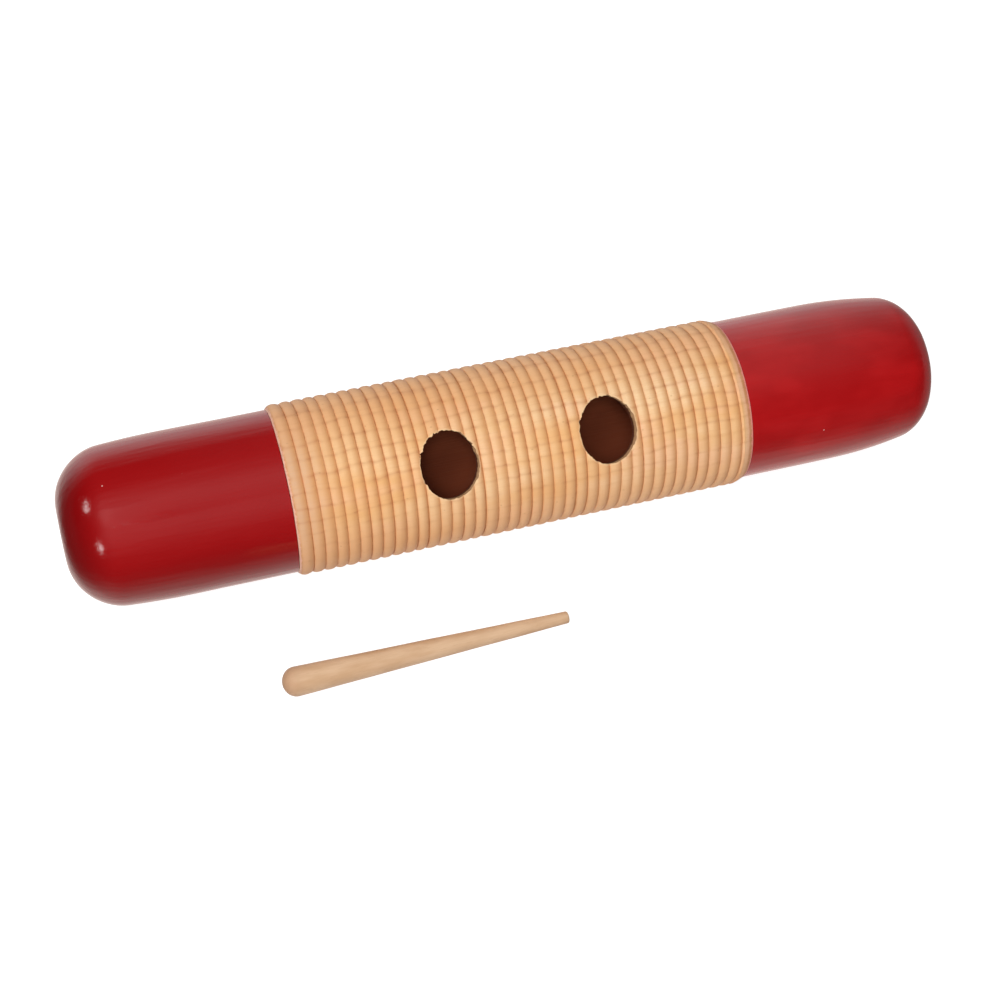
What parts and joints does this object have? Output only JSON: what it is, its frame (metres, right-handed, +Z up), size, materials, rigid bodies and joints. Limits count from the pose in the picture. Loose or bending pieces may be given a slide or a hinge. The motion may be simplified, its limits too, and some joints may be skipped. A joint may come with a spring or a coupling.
{
  "type": "guiro",
  "caption": "Tubular wooden guiro with a ribbed natural-wood middle, finger holes in its side and rounded red-lacquered ends, and a tapered wooden scraper lying beside it.",
  "frame": {"origin": "bottom centre of the box round the guiro and its scraper, on the surface that both lie on", "axes": "+X along the guiro's axis from the left end cap to the right one, -Y towards the player, the side where the scraper lies and the finger holes look up and out, +Z up"},
  "size_m": [0.3006, 0.095, 0.0578],
  "materials": {
    "ribbed_wood": "natural honey-coloured hardwood, sanded and thinly sealed, satin",
    "red_lacquer": "turned hardwood under deep red high-gloss lacquer",
    "scraper_wood": "plain light hardwood, sanded, unpainted, satin"
  },
  "bodies": {
    "guiro_body": {"ribbed_tube": "ribbed_wood", "left_end_cap": "red_lacquer", "right_end_cap": "red_lacquer"},
    "scraper": {"scraper_stick": "scraper_wood"}
  },
  "joints": [
    {"name": "scraper_lift", "type": "slide", "parent": "guiro_body", "child": "scraper", "axis": [0, 0, 1], "range_m": [0, 0.1]}
  ]
}
